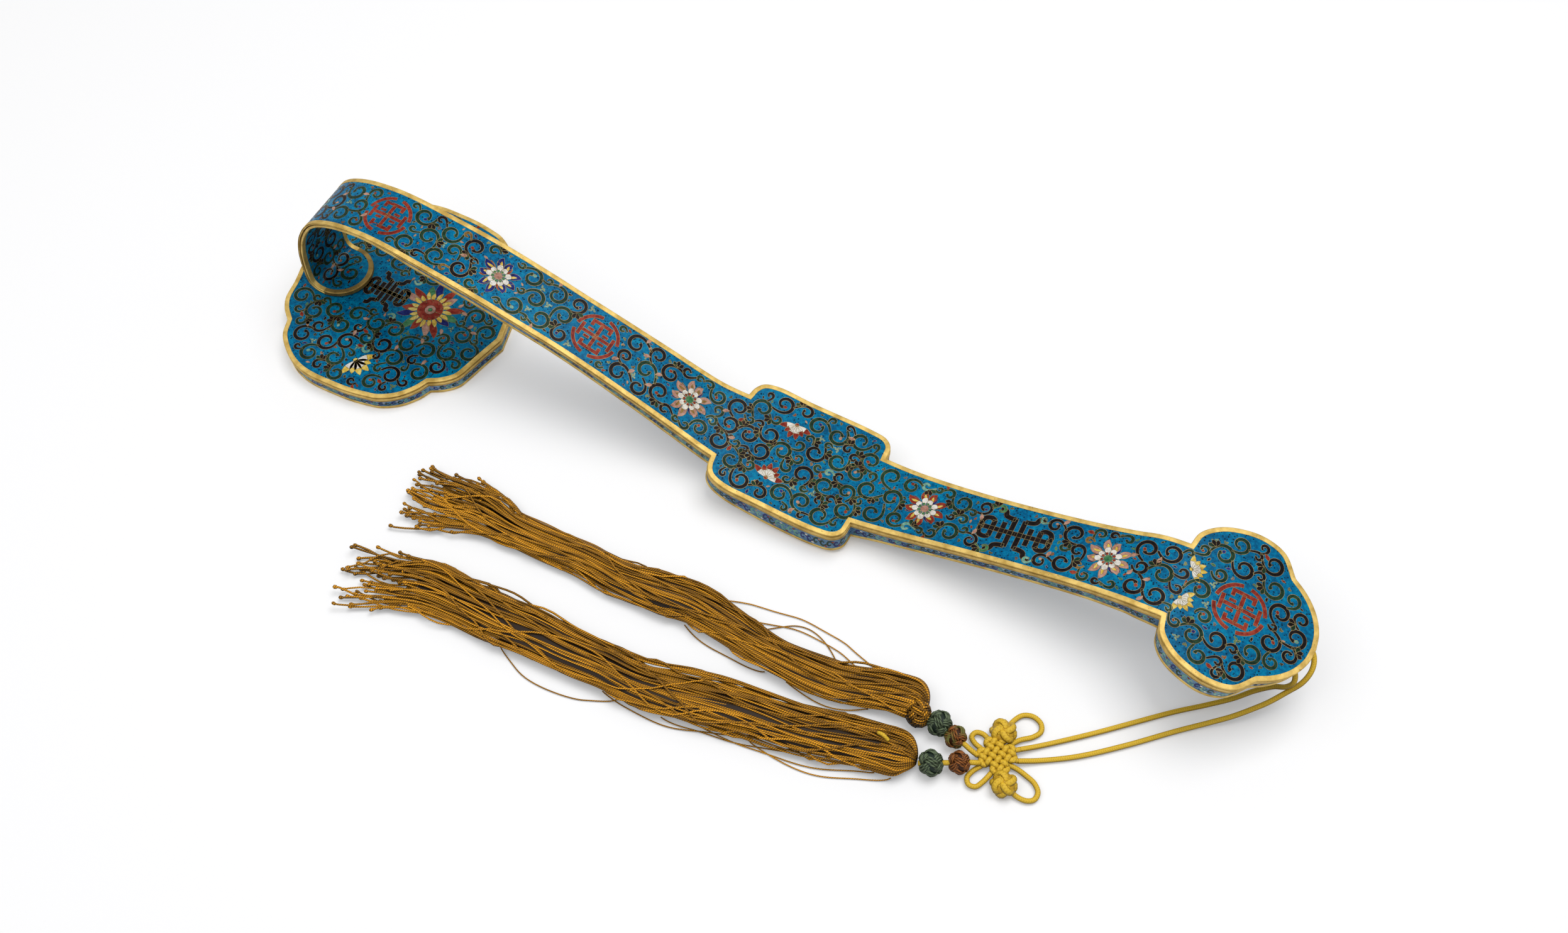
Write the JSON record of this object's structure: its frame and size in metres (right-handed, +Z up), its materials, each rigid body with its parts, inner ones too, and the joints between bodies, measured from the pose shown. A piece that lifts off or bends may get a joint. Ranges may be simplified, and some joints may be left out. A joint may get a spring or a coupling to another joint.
{
  "type": "cloisonne ruyi scepter",
  "caption": "Long curved enamel scepter with a cloud-shaped head, a boss half way and a lobed tail, gilt edges, and a silk cord with a woven knot, beads and tassels.",
  "frame": {"origin": "on the table under the middle of the scepter without its cord group, the head's front face down", "axes": "+X along the scepter from the head to the tail, +Y to the far side, +Z up, away from the head's front face"},
  "size_m": [0.4469, 0.1779, 0.0652],
  "materials": {
    "gilt": "worn gilding, satin to bright, with dark pits at the joints",
    "enamel": "polished turquoise-blue cloisonne enamel with fine dark pinholes and gold wires",
    "side_enamel": "duller grey-blue enamel",
    "yellow_silk": "braided silk cord",
    "ochre_silk": "twisted silk threads",
    "green_silk": "knotted silk cord",
    "brown_silk": "knotted silk cord"
  },
  "bodies": {
    "scepter": {"head_back_rim_end": "gilt", "head_side_band_end": "side_enamel", "head_front_rim_end": "gilt", "head_back_rim_near": "gilt", "head_side_band_near": "side_enamel", "head_front_rim_near": "gilt", "head_back_rim_far": "gilt", "head_side_band_far": "side_enamel", "head_front_rim_far": "gilt", "head_back_rim_chin": "gilt", "head_side_band_chin": "side_enamel", "head_front_rim_chin": "gilt", "head_back_panel": "enamel", "head_front_panel": "enamel", "tongue_rim": "gilt", "neck_far_back_rim": "gilt", "neck_far_side_band": "side_enamel", "neck_far_front_rim": "gilt", "boss_far_back_rim": "gilt", "boss_far_side_band": "side_enamel", "boss_far_front_rim": "gilt", "lower_far_back_rim": "gilt", "lower_far_side_band": "side_enamel", "lower_far_front_rim": "gilt", "tail_far_back_rim": "gilt", "tail_far_side_band": "side_enamel", "tail_far_front_rim": "gilt", "tail_end_back_rim": "gilt", "tail_end_side_band": "side_enamel", "tail_end_front_rim": "gilt", "tail_near_back_rim": "gilt", "tail_near_side_band": "side_enamel", "tail_near_front_rim": "gilt", "lower_near_back_rim": "gilt", "lower_near_side_band": "side_enamel", "lower_near_front_rim": "gilt", "boss_near_back_rim": "gilt", "boss_near_side_band": "side_enamel", "boss_near_front_rim": "gilt", "neck_near_back_rim": "gilt", "neck_near_side_band": "side_enamel", "neck_near_front_rim": "gilt", "shaft_back_panel": "enamel", "shaft_front_panel": "enamel", "cord_eye": "gilt", "cord_far_strand": "yellow_silk", "cord_near_strand": "yellow_silk", "knot": "yellow_silk", "tassel_cord_far": "yellow_silk", "tassel_cord_near": "yellow_silk", "tassel_far": "ochre_silk", "tassel_near": "ochre_silk"},
    "bead_brown_far": {"bead_brown_far": "brown_silk"},
    "bead_green_far": {"bead_green_far": "green_silk"},
    "bead_brown_near": {"bead_brown_near": "brown_silk"},
    "bead_green_near": {"bead_green_near": "green_silk"}
  },
  "joints": [
    {"name": "bead_brown_far_spin", "type": "hinge", "parent": "scepter", "child": "bead_brown_far", "pos_m": [0.1185, -0.0757, 0.005], "axis": [-0.9607, 0.2764, 0.0263], "continuous": true},
    {"name": "bead_green_far_spin", "type": "hinge", "parent": "scepter", "child": "bead_green_far", "pos_m": [0.1112, -0.0736, 0.0052], "axis": [-0.9607, 0.2764, 0.0263], "continuous": true},
    {"name": "bead_brown_near_spin", "type": "hinge", "parent": "scepter", "child": "bead_brown_near", "pos_m": [0.1236, -0.0842, 0.005], "axis": [-0.8822, -0.4705, 0.0196], "continuous": true},
    {"name": "bead_green_near_spin", "type": "hinge", "parent": "scepter", "child": "bead_green_near", "pos_m": [0.1146, -0.089, 0.0052], "axis": [-0.8822, -0.4705, 0.0196], "continuous": true}
  ]
}
